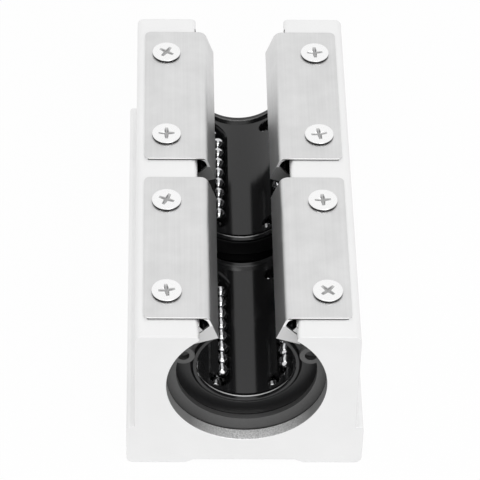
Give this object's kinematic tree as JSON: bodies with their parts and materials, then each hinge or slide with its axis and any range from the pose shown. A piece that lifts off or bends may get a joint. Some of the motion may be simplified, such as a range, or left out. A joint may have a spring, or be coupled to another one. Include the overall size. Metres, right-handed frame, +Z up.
{
  "type": "linear bearing block",
  "caption": "Long open linear bearing block: a stepped aluminium housing holds slotted ball bearings in line on a supported round shaft, kept by snap rings and folded sheet clips.",
  "frame": {"origin": "middle of the mounting face under the housing", "axes": "+Y along the shaft, +Z up through the open slot, +X to the right seen from the front"},
  "size_m": [0.048, 0.096, 0.0381],
  "materials": {
    "housing_aluminium": "finely blasted, clear anodised",
    "sleeve_steel": "hardened and ground",
    "cage_resin": "smooth black moulding",
    "ball_steel": "polished",
    "seal_rubber": "satin black moulding",
    "ring_steel": "dark phosphated spring steel",
    "clip_steel": "rolled and folded stainless sheet",
    "screw_steel": "bright zinc plated"
  },
  "bodies": {
    "root": {"housing": "housing_aluminium", "front_sleeve": "sleeve_steel", "rear_sleeve": "sleeve_steel", "front_cage": "cage_resin", "rear_cage": "cage_resin", "front_lower_right_balls": "ball_steel", "front_lower_left_balls": "ball_steel", "front_upper_right_balls": "ball_steel", "front_upper_left_balls": "ball_steel", "rear_lower_right_balls": "ball_steel", "rear_lower_left_balls": "ball_steel", "rear_upper_right_balls": "ball_steel", "rear_upper_left_balls": "ball_steel", "front_outer_seal": "seal_rubber", "front_inner_seal": "seal_rubber", "rear_outer_seal": "seal_rubber", "rear_inner_seal": "seal_rubber", "front_retaining_ring": "ring_steel", "rear_retaining_ring": "ring_steel", "front_left_clip": "clip_steel", "front_right_clip": "clip_steel", "rear_left_clip": "clip_steel", "rear_right_clip": "clip_steel", "clip_screws": "screw_steel"}
  },
  "joints": []
}
